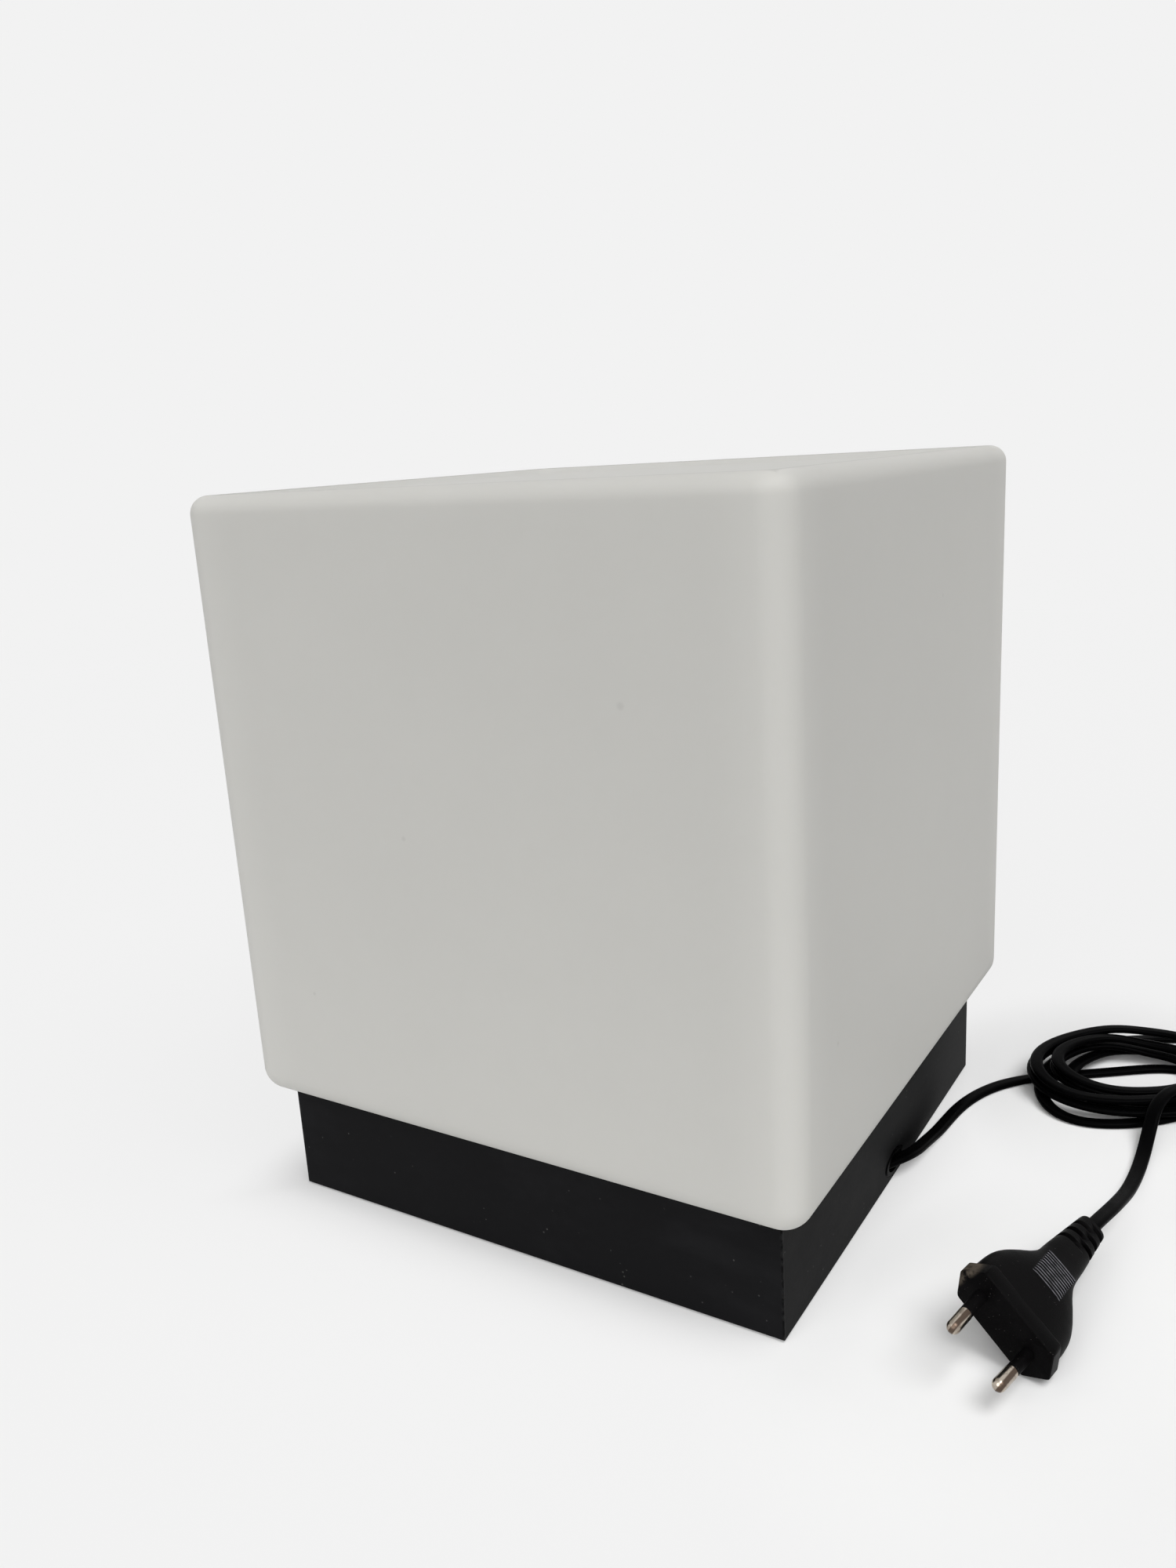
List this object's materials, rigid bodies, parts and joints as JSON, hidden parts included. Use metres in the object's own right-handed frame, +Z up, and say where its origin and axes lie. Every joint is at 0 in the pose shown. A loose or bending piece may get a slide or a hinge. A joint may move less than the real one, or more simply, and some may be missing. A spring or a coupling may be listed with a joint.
{
  "type": "table lamp",
  "caption": "Table lamp with a satin opal glass cube shade on a low black plinth, with a screw bulb inside and a coiled black cord with a flat plug.",
  "frame": {"origin": "middle of the plinth, on the surface that the foot pads stand on", "axes": "+Z up; -Y is the front, the larger side in the picture; the cord leaves the +X side"},
  "size_m": [0.3089, 0.2645, 0.2502],
  "materials": {
    "opal_glass": "satin frosted opal",
    "plinth_black": "satin black",
    "board": "plain fibreboard",
    "block_wood": "planed",
    "screw_steel": "zinc plated",
    "pad_rubber": "matt",
    "felt": "felt",
    "collar_metal": "white lacquer",
    "tube_brass": "plain",
    "nut_steel": "zinc plated",
    "holder_plastic": "moulded",
    "ceramic": "glazed",
    "contact_brass": "plain",
    "core_plastic": "insulation",
    "clear_glass": "clear",
    "stem_glass": "clear",
    "filament": "wire",
    "cap_metal": "plain",
    "black_glass": "glossy",
    "clamp_plastic": "moulded",
    "cord_black": "satin",
    "plug_black": "satin moulded",
    "pin_metal": "nickel plated"
  },
  "bodies": {
    "base": {"front_panel": "plinth_black", "right_panel": "plinth_black", "rear_panel": "plinth_black", "left_panel": "plinth_black", "top_plate": "board", "corner_blocks": "block_wood", "bottom_cover": "board", "cover_screws": "screw_steel", "foot_pads": "pad_rubber", "felt_ring": "felt", "shade_collar": "collar_metal", "collar_screws": "screw_steel", "threaded_tube": "tube_brass", "tube_nuts": "nut_steel", "tube_washers": "nut_steel", "holder_cap": "holder_plastic", "holder_shell": "holder_plastic", "ceramic_insert": "ceramic", "screw_sleeve": "contact_brass", "centre_contact": "contact_brass", "terminal_screws": "contact_brass", "core_wires": "core_plastic", "clamp_bridge": "clamp_plastic", "clamp_screws": "screw_steel", "cord_sleeve": "cord_black", "inner_lead": "cord_black", "cord_lead": "cord_black", "cord_coil": "cord_black", "cord_tail": "cord_black", "plug_body": "plug_black", "plug_relief": "plug_black", "plug_pins": "pin_metal", "pin_sleeves": "plug_black"},
    "shade": {"glass_shade": "opal_glass"},
    "bulb": {"bulb_glass": "clear_glass", "bulb_stem": "stem_glass", "bulb_filament": "filament", "bulb_cap": "cap_metal", "bulb_insulator": "black_glass", "bulb_tip": "nut_steel"}
  },
  "joints": [
    {"name": "shade_lift", "type": "slide", "parent": "base", "child": "shade", "axis": [0, 0, 1], "range_m": [0, 0.146]},
    {"name": "bulb_turn", "type": "hinge", "parent": "base", "child": "bulb", "pos_m": [0, 0, 0.0703], "axis": [0, 0, 1], "range_deg": [0, 1800]}
  ]
}
